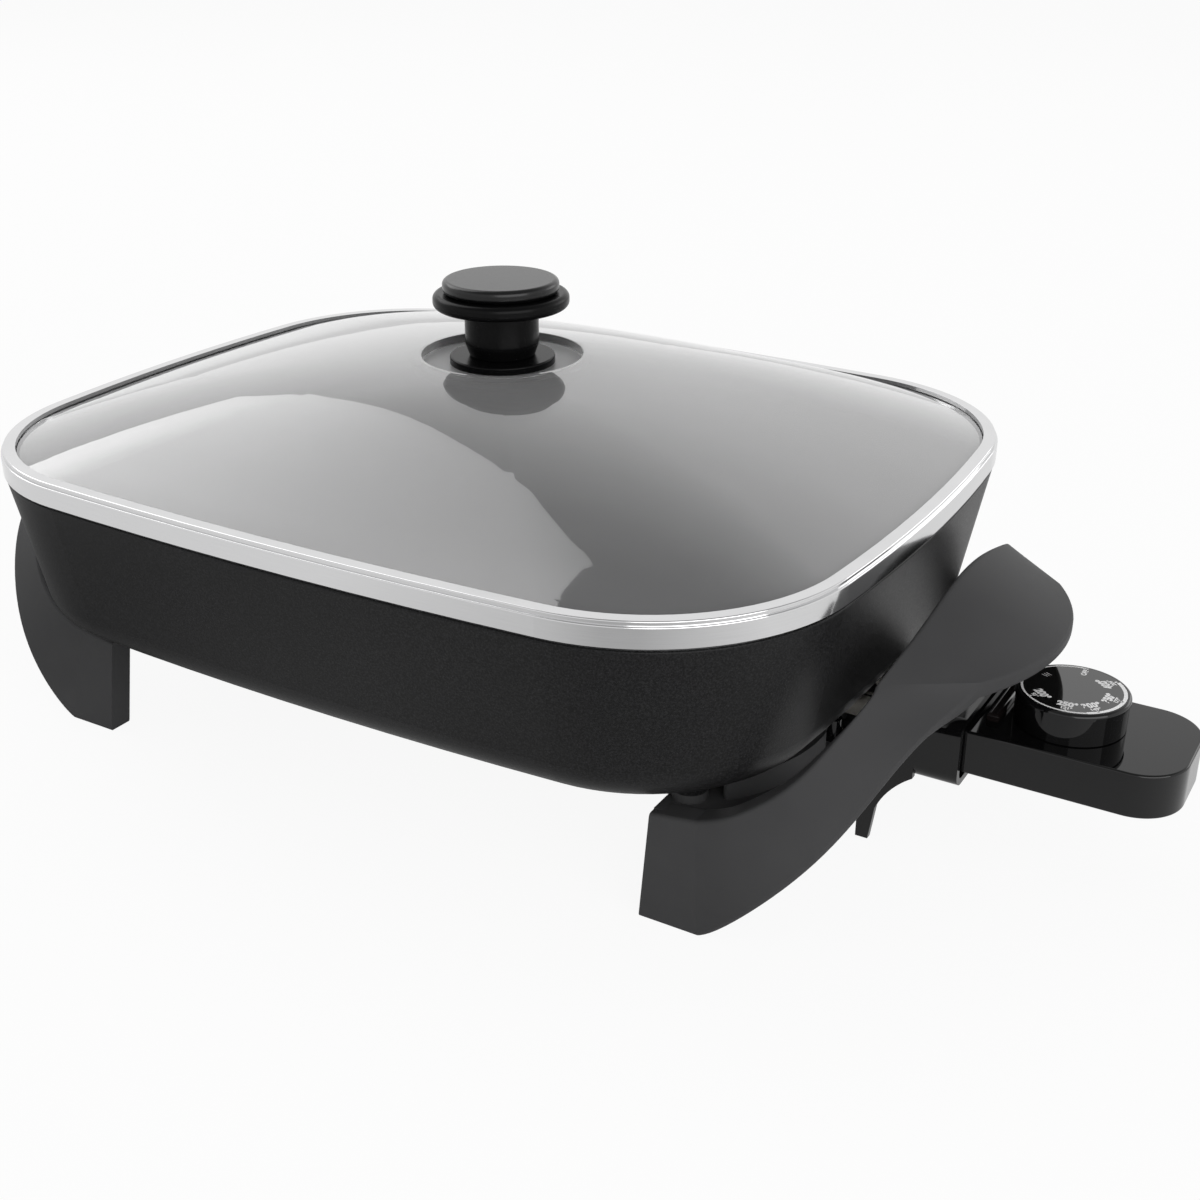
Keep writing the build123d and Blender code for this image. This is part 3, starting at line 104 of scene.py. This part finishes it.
class Web:
    """A tree of shader nodes that ends in a surface."""

    def __init__(self, tree, end):
        self.tree = tree
        tree.nodes.clear()
        self.end = tree.nodes.new(end)

    def node(self, kind, settings=None, sockets=(), output=0):
        """Adds a node: its settings first, then the values or links of its sockets."""
        made = self.tree.nodes.new(kind)
        for key, value in (settings or {}).items():
            setattr(made, key, value)
        pairs = sockets.items() if isinstance(sockets, dict) else enumerate(sockets)
        for key, value in pairs:
            if isinstance(value, Value):
                self.tree.links.new(value.socket, made.inputs[key])
            else:
                made.inputs[key].default_value = value
        return Value(self, made.outputs[output])

    def spread(self, value, from_low, from_high, to_low, to_high):
        """A value moved from one range to another, held inside it."""
        return self.node(
            "ShaderNodeMapRange", {"clamp": True}, (value, from_low, from_high, to_low, to_high)
        )

    def ray(self, *kinds):
        """1 for a ray of any of the kinds, otherwise 0."""
        share = self.node("ShaderNodeLightPath", output=kinds[0])
        for kind in kinds[1:]:
            share = share.joined("MAXIMUM", share, self.node("ShaderNodeLightPath", output=kind))
        return share

    def seen_rays(self):
        """Two shares: of the rays that the camera sends, and of those that a shine or glass sends."""
        return self.ray("Is Camera Ray"), self.ray("Is Glossy Ray", "Is Transmission Ray")

    def surface(self, value):
        """The shader that the tree ends in."""
        self.tree.links.new(value.socket, self.end.inputs["Surface"])


class Finish(Web):
    """A surface finish round one Principled shader, its patterns in object coordinates."""

    def __init__(self, name, **constants):
        self.material = bpy.data.materials.new(name)
        self.material.use_nodes = True
        super().__init__(self.material.node_tree, "ShaderNodeOutputMaterial")
        self.body = self.node("ShaderNodeBsdfPrincipled")
        self.shader = self.body.socket.node
        for socket, value in constants.items():
            self.shader.inputs[socket.replace("_", " ")].default_value = value
        self.surface(self.body)
        self.place = self.node("ShaderNodeTexCoord", output="Object")

    def feed(self, socket, value):
        """Links a varying value to the Principled shader."""
        self.tree.links.new(value.socket, self.shader.inputs[socket])

    def stretched(self, along, across, up):
        """Object coordinates stretched for a grain that runs one way."""
        return self.node(
            "ShaderNodeMapping", sockets={"Vector": self.place, "Scale": (along, across, up)}
        )

    def noise(self, scale, detail=2.0, roughness=0.5, where=None):
        """Smooth noise, scale in waves per metre."""
        return self.node(
            "ShaderNodeTexNoise",
            sockets={
                "Vector": where or self.place, "Scale": scale, "Detail": detail, "Roughness": roughness,
            },
        )

    def grains(self, scale):
        """Distance to the nearest of many scattered points, scale in points per metre."""
        return self.node("ShaderNodeTexVoronoi", sockets={"Vector": self.place, "Scale": scale})

    def swing(self, noise, low=0.0, high=1.0):
        """Noise stretched so that its usual range, 0.3 to 0.7, fills a wanted one."""
        return self.spread(noise, 0.3, 0.7, low, high)

    def within(self, x, y, inner, outer):
        """1 near an upright line, falling to 0 between two distances from it."""
        flat = self.node(
            "ShaderNodeVectorMath", {"operation": "MULTIPLY_ADD"}, (self.place, (1, 1, 0), (-x, -y, 0)),
        )
        away = self.node("ShaderNodeVectorMath", {"operation": "LENGTH"}, (flat,), output="Value")
        return self.spread(away, inner, outer, 1, 0)

    def paint(self, share, first, second):
        """Base colour that goes from one colour to another by a share."""
        mixed = self.node(
            "ShaderNodeMix", {"data_type": "RGBA"}, {0: share, 6: (*first, 1), 7: (*second, 1)}, output=2
        )
        self.feed("Base Color", mixed)

    def bump(self, height, distance, strength):
        """Relief of a given depth in metres, on the shader's normal."""
        relief = {"Strength": strength, "Distance": distance, "Height": height}
        self.feed("Normal", self.node("ShaderNodeBump", sockets=relief, output="Normal"))


# ---------------------------------------------------------------- lamps

def softbox(name, place, target, width, height, watts):
    """A large rectangular studio lamp, hidden from the camera."""
    lamp = bpy.data.lights.new(name, "AREA")
    lamp.shape = "RECTANGLE"
    lamp.size = width
    lamp.size_y = height
    lamp.energy = watts
    hang(name, lamp, place, target).visible_camera = False
    return lamp


def fade_side(lamp, dimmest, full_at):
    """Dims a lamp towards one side of its cloth; full_at is the share of its width where it is full."""
    lamp.use_nodes = True
    cloth = Web(lamp.node_tree, "ShaderNodeOutputLight")
    spot = cloth.node("ShaderNodeNewGeometry", output="Parametric")
    across = cloth.node("ShaderNodeSeparateXYZ", sockets=(spot,), output="X")
    fade = cloth.spread(across, 0.0, full_at, dimmest, 1.0)
    cloth.surface(cloth.node("ShaderNodeEmission", sockets={"Strength": fade}))


left_lamp = softbox("lamp_left", (-2.17, 0.66, 2.3), (0, 0, 0.13), width=2.1, height=2.4, watts=33)
fade_side(left_lamp, dimmest=0.42, full_at=0.6)
softbox("lamp_front", (2.0, -1.37, 1.05), (0, 0, 0.08), width=3.0, height=1.9, watts=38)
softbox("lamp_back", (1.2, 2.3, 0.85), (0, 0, 0.08), width=1.4, height=1.0, watts=6)


# ---------------------------------------------------------------- finishes

finishes = {}


def kept(slot, finish):
    """Keeps a finish's material for a material slot of the record."""
    finishes[slot] = finish.material
    return finish


# Non-stick coating: fine sprayed speckle, tiny bright flakes
coat = kept("cast_pan", Finish("speckled_coating", Specular_IOR_Level=0.14))
spray = coat.noise(1250, detail=3, roughness=0.65)
flakes = coat.spread(coat.grains(1500), 0.08, 0.3, 1, 0)
patches = coat.swing(coat.noise(18), 0.8, 1.15)
speckle = coat.spread(spray, 0.42, 0.66, 0, 1) * 0.6 + flakes * 0.7
coat.paint(speckle * patches, (0.006, 0.006, 0.0062), (0.026, 0.026, 0.0271))
coat.feed("Roughness", coat.swing(spray, 0.32, 0.46))
coat.bump(spray + flakes * 0.4, distance=0.00012, strength=0.4)

# Satin phenolic of the handles
satin = kept("moulded_black", Finish("satin_phenolic", Specular_IOR_Level=0.06))
grain = satin.noise(2600)
flow = satin.noise(14, detail=3, roughness=0.55)
satin.paint(satin.swing(flow), (0.053, 0.053, 0.0543), (0.066, 0.066, 0.0673))
satin.feed("Roughness", satin.spread(flow * 0.6 + grain * 0.4, 0.35, 0.65, 0.44, 0.54))
satin.bump(grain, distance=0.000012, strength=0.35)


def knob_phenolic(name, shine):
    """Deep black phenolic of the lid's knob, its shine as a specular level."""
    moulding = Finish(name, Specular_IOR_Level=shine)
    polish = moulding.noise(2200)
    moulding.paint(polish, (0.002, 0.002, 0.0022), (0.005, 0.005, 0.0052))
    moulding.feed("Roughness", moulding.swing(polish, 0.2, 0.26))
    moulding.bump(polish, distance=0.000008, strength=0.3)
    return moulding.material


dull_knob = knob_phenolic("knob_dull_phenolic", shine=0.09)
knob_finishes = {
    "knob_cap": knob_phenolic("knob_polished_phenolic", shine=0.36),
    "knob_grip": dull_knob,
    "knob_base": dull_knob,
}

# Glossy moulding of the control and guard
gloss = kept("gloss_black", Finish("gloss_moulding", Specular_IOR_Level=0.38))
wipe = gloss.noise(22, detail=4, roughness=0.6)
gloss.paint(gloss.swing(wipe), (0.003, 0.003, 0.0032), (0.005, 0.005, 0.0053))
gloss.feed("Roughness", gloss.spread(wipe, 0.35, 0.7, 0.035, 0.085))

# Tempered glass: hazy, its colour lightened where it is seen at a slant as a painted sheen; frosted and
# uncoated in the knob's well
well_radius = 0.0331
well_edge = 0.0004
knob_low, knob_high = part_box("knob_base")
knob_middle = (knob_low + knob_high) / 2
glass = kept("lid_glass", Finish("tempered_glass", IOR=1.5, Transmission_Weight=0.72))
haze = glass.noise(9, detail=3, roughness=0.55)
slant = glass.node("ShaderNodeLayerWeight", sockets={"Blend": 0.5}, output="Facing")
# Painted sheen: the base colour lightens with the slant, on top of a faint random haze
haze_and_painted_sheen = glass.spread(slant, 0.35, 0.62, 0.05, 0.9) + glass.swing(haze, 0.0, 0.1)
glass.paint(haze_and_painted_sheen, (0.32, 0.32, 0.325), (0.78, 0.78, 0.785))
well = glass.within(knob_middle.x, knob_middle.y, well_radius - well_edge, well_radius + well_edge)
glass.feed("Roughness", well * 0.3 + glass.spread(haze, 0.35, 0.7, 0.02, 0.04))
glass.feed("Coat Weight", 1 - well)

# Satin bright band, brushed round the lid
band = kept("band_metal", Finish("brushed_band", Metallic=1.0))
brush = band.noise(1, where=band.stretched(60, 60, 5200))
cloud = band.noise(30)
band.paint(band.swing(brush), (0.665, 0.665, 0.67), (0.695, 0.695, 0.7))
band.feed("Roughness", band.spread(brush * 0.3 + cloud * 0.7, 0.35, 0.65, 0.06, 0.1))
band.bump(brush, distance=0.0000012, strength=0.15)

# Soft black seal
seal = kept("seal_rubber", Finish("black_silicone"))
soft = seal.noise(700, detail=3, roughness=0.6)
seal.paint(soft, (0.012, 0.012, 0.012), (0.03, 0.03, 0.03))
seal.feed("Roughness", seal.swing(soft, 0.55, 0.75))
seal.bump(soft, distance=0.00002, strength=0.3)

# Heat-dulled sheath of the heater
sheath = kept("element_steel", Finish("heated_sheath", Metallic=1.0))
tint = sheath.noise(60, detail=4, roughness=0.6)
sheath.paint(sheath.swing(tint), (0.21, 0.17, 0.14), (0.36, 0.35, 0.34))
sheath.feed("Roughness", sheath.swing(tint, 0.38, 0.6))

# Plated pins and probe
plate = kept("terminal_metal", Finish("bright_plating", Metallic=1.0))
wear = plate.noise(180, detail=4, roughness=0.6)
plate.paint(plate.spread(wear, 0.4, 0.75, 0, 1), (0.78, 0.78, 0.8), (0.62, 0.6, 0.57))
plate.feed("Roughness", plate.swing(wear, 0.08, 0.24))

# Unglazed ceramic
clay = kept("ceramic", Finish("unglazed_ceramic"))
pores = clay.noise(900, detail=3, roughness=0.6)
clay.paint(pores, (0.62, 0.59, 0.53), (0.82, 0.8, 0.74))
clay.feed("Roughness", clay.swing(pores, 0.55, 0.75))
clay.bump(pores, distance=0.00003, strength=0.4)

# Zinc-plated steel of screws, clips and blades
zinc = kept("fastener_steel", Finish("zinc_plated_steel", Metallic=1.0))
spangle = zinc.grains(420)
bloom = zinc.noise(90, detail=3, roughness=0.6)
zinc.paint(spangle * 0.5 + bloom * 0.5, (0.4, 0.4, 0.42), (0.62, 0.62, 0.63))
zinc.feed("Roughness", zinc.swing(bloom, 0.22, 0.42))

# Rolled brass
brass = kept("spring_brass", Finish("rolled_brass", Metallic=1.0))
rolled = brass.noise(1, detail=3, roughness=0.6, where=brass.stretched(80, 2600, 2600))
brass.paint(brass.swing(rolled), (0.62, 0.42, 0.16), (0.76, 0.56, 0.26))
brass.feed("Roughness", brass.swing(rolled, 0.24, 0.4))

# Brown phenolic board
board = kept("insulating_board", Finish("phenolic_board"))
fibre = board.noise(1, detail=3, roughness=0.6, where=board.stretched(300, 1500, 1500))
board.paint(fibre, (0.09, 0.042, 0.02), (0.2, 0.105, 0.052))
board.feed("Roughness", board.swing(fibre, 0.4, 0.6))

# Small neon lamp
neon = kept("lamp_glass", Finish("neon_glass", IOR=1.45, Transmission_Weight=0.7))
neon.paint(neon.noise(300), (0.8, 0.34, 0.16), (0.95, 0.55, 0.3))
neon.feed("Roughness", neon.swing(neon.noise(200), 0.05, 0.15))

# Smoked lens bar
smoke = kept("lens_plastic", Finish("smoked_lens", IOR=1.52))
swirl = smoke.noise(120)
smoke.paint(swirl, (0.007, 0.0055, 0.0055), (0.012, 0.009, 0.009))
smoke.feed("Roughness", smoke.swing(swirl, 0.03, 0.08))

# Face of the dial
face = kept("dial_print", Finish("dial_face", IOR=1.5, Coat_Weight=0.35))
film = face.noise(40, detail=3)
face.paint(film, (0.003, 0.003, 0.003), (0.006, 0.006, 0.006))
face.feed("Roughness", face.swing(film, 0.03, 0.07))

# Insulated wire
wire = kept("wire_sheath", Finish("wire_insulation"))
pull = wire.noise(400)
wire.paint(pull, (0.012, 0.012, 0.012), (0.026, 0.026, 0.026))
wire.feed("Roughness", wire.swing(pull, 0.45, 0.6))

# White print on the dial
ink = Finish("white_print")
cover = ink.noise(1800, detail=3, roughness=0.6)
ink.paint(ink.spread(cover, 0.3, 0.6, 0, 1), (0.9, 0.9, 0.9), (0.97, 0.97, 0.97))
ink.feed("Roughness", ink.swing(cover, 0.3, 0.5))

slot_of = {part["node"]: part["material_slot"] for part in frame["record"]["subparts"]}
for name, thing in nodes.items():
    finish = knob_finishes.get(name, finishes[slot_of[name]])
    for material_slot in thing.material_slots:
        material_slot.material = finish


# ---------------------------------------------------------------- print on the dial

# Angles in degrees round the dial from +X towards +Y, radii and sizes in metres
print_lift = 0.00002
off_azimuth = 90
off_style = {"radius": 0.0149, "size": 0.0027, "bold": 0.00018, "turned_by": 0}
off_tick_half = 1
thin_ring = {"inner": 0.0180, "outer": 0.0188}
wide_ring = {"inner": 0.0176, "outer": 0.0190}
hot_start = 300
hot_end = 405.7

# Each mark of the scale: its azimuth, degrees Fahrenheit, degrees Celsius
scale_marks = (
    (227, "200", "93"), (276, "250", "121"), (314, "300", "149"), (357, "350", "177"), (408, "400", "204"),
)
fahrenheit_style = {"radius": 0.0130, "size": 0.0044, "bold": 0.00026, "squeeze": 0.87}
celsius_style = {"radius": 0.0160, "size": 0.0024, "bold": 0.0001, "squeeze": 0.95}
tick_ring = {"inner": 0.0172, "outer": 0.0182}
tick_half = 1.2

# Warm mark: three short wavy strokes side by side, each of two strips that meet with a lap
warm_azimuth = 152
warm_spacing = 4.6
wave_width = 0.9
wave_lap = 0.1
wave_foot = {"inner": 0.0120, "outer": 0.0134}
wave_head = {"inner": 0.0133, "outer": 0.0147}


def finished(name, mesh, finish, body):
    """A piece from a bmesh, riding on a body."""
    data = bpy.data.meshes.new(name)
    mesh.to_mesh(data)
    mesh.free()
    piece = bpy.data.objects.new(name, data)
    data.materials.append(finish)
    bpy.context.scene.collection.objects.link(piece)
    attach(piece, body)


def arc_strip(mesh, start, end, inner, outer, steps=2):
    """Flat printed strip along an arc round the dial."""
    edge = [
        mesh.verts.new((radius * cos(radians(start)), radius * sin(radians(start)), 0))
        for radius in (inner, outer)
    ]
    line = mesh.edges.new(edge)
    bmesh.ops.spin(
        mesh, geom=[line] + edge, cent=(0, 0, 0), axis=(0, 0, 1),
        angle=radians(end - start), steps=steps, use_merge=False,
    )


def lettering(text, size, bold):
    """Outline mesh of a short word, centred on the origin."""
    words = bpy.data.curves.new("words", "FONT")
    words.body = text
    words.size = size
    words.offset = bold
    words.align_x = "CENTER"
    words.align_y = "CENTER"
    holder = bpy.data.objects.new("words", words)
    bpy.context.scene.collection.objects.link(holder)
    bpy.context.view_layer.update()
    flat = bpy.data.meshes.new_from_object(holder)
    bpy.data.objects.remove(holder)
    return flat


def stamped(mesh, text, azimuth, radius, size, bold, squeeze=1.0, turned_by=90):
    """Adds a word to the print, its foot towards the dial's edge or turned another way."""
    flat = lettering(text, size, bold)
    turn = Matrix.Rotation(radians(azimuth + turned_by), 4, "Z")
    put = Matrix.Translation((radius * cos(radians(azimuth)), radius * sin(radians(azimuth)), 0))
    flat.transform(put @ turn @ Matrix.Diagonal((squeeze, 1, 1, 1)))
    mesh.from_mesh(flat)
    bpy.data.meshes.remove(flat)


printed = bmesh.new()
arc_strip(printed, off_azimuth, hot_start, **thin_ring, steps=84)
arc_strip(printed, hot_start, hot_end, **wide_ring, steps=44)
for azimuth, fahrenheit, celsius in scale_marks:
    stamped(printed, fahrenheit + "°", azimuth, **fahrenheit_style)
    stamped(printed, celsius + "°", azimuth, **celsius_style)
    arc_strip(printed, azimuth - tick_half, azimuth + tick_half, **tick_ring)
stamped(printed, "OFF", off_azimuth, **off_style)
arc_strip(printed, off_azimuth - off_tick_half, off_azimuth + off_tick_half, **wide_ring)
for stroke in (-1, 0, 1):
    middle = warm_azimuth + stroke * warm_spacing
    arc_strip(printed, middle - wave_width, middle + wave_lap, **wave_foot)
    arc_strip(printed, middle - wave_lap, middle + wave_width, **wave_head)

bmesh.ops.recalc_face_normals(printed, faces=printed.faces)
for side in printed.faces:
    if side.normal.z < 0:
        side.normal_flip()
dial_low, dial_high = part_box("dial_plate")
dial_middle = (dial_low + dial_high) / 2
bmesh.ops.translate(
    printed, verts=printed.verts, vec=(dial_middle.x, dial_middle.y, dial_high.z + print_lift)
)
finished("dial_marks", printed, ink.material, "dial")


# ---------------------------------------------------------------- floor and backdrop

floor_reach = 40
floor_white = 0.92
floor_shine = 0.5
# Strengths of the two places of painted shade that reflections show on the floor
front_shade = 0.42
left_shade = 0.7
wall_white = 0.975
wall_light = 0.45
wall_top = 0.38

# How steeply a ray rises, from 0 for level to 1 for straight up, where the walls end and the
# ceiling starts
walls_end = 0.5
ceiling_start = 0.78

# The camera sees the floor nearly white, with the part's shadow. A shine or the glass shows a
# softer white floor with two places of painted shade: in front of the part and beside its left end.
ground_finish = Finish("pale_floor", Roughness=0.9, Specular_IOR_Level=0.0)
ground_finish.paint(ground_finish.noise(0.8), (0.93, 0.93, 0.93), (0.95, 0.95, 0.95))
glow = ground_finish.node("ShaderNodeEmission", sockets={"Color": (1, 1, 1, 1), "Strength": 1.0})
looked, mirrored = ground_finish.seen_rays()
shown = looked * floor_white + (1 - looked) * mirrored * floor_shine
lit_floor = ground_finish.node("ShaderNodeMixShader", sockets=(shown, ground_finish.body, glow))
# Painted shade: black mixed into the floor for reflected rays, in front of the part and beside its left
# end
painted_shade_black = ground_finish.node("ShaderNodeEmission", sockets={"Color": (0, 0, 0, 1), "Strength": 0.0})
painted_shade_in_front = ground_finish.within(x=0.2, y=-0.42, inner=0.06, outer=0.38) * front_shade
painted_shade_beside_pan = ground_finish.within(x=-0.27, y=-0.08, inner=0.1, outer=0.24) * left_shade
shade = mirrored * (painted_shade_in_front + painted_shade_beside_pan)
ground_finish.surface(ground_finish.node("ShaderNodeMixShader", sockets=(shade, lit_floor, painted_shade_black)))

ground = bmesh.new()
bmesh.ops.create_grid(ground, x_segments=1, y_segments=1, size=floor_reach)
floor_data = bpy.data.meshes.new("floor")
ground.to_mesh(floor_data)
ground.free()
floor_data.materials.append(ground_finish.material)
floor = bpy.data.objects.new("floor", floor_data)
bpy.context.scene.collection.objects.link(floor)

# The room's walls are white low down and grey overhead where a shine shows them
world = bpy.data.worlds.new("studio")
bpy.context.scene.world = world
world.use_nodes = True
room = Web(world.node_tree, "ShaderNodeOutputWorld")
direction = room.node("ShaderNodeTexCoord", output="Generated")
height = room.node("ShaderNodeSeparateXYZ", sockets=(direction,), output="Z")
walls = room.spread(height, walls_end, ceiling_start, 1.0, wall_top)
looked, mirrored = room.seen_rays()
strength = looked * wall_white + (1 - looked) * (mirrored * walls + (1 - mirrored) * wall_light)
room.surface(room.node("ShaderNodeBackground", sockets={"Color": (1, 1, 1, 1), "Strength": strength}))
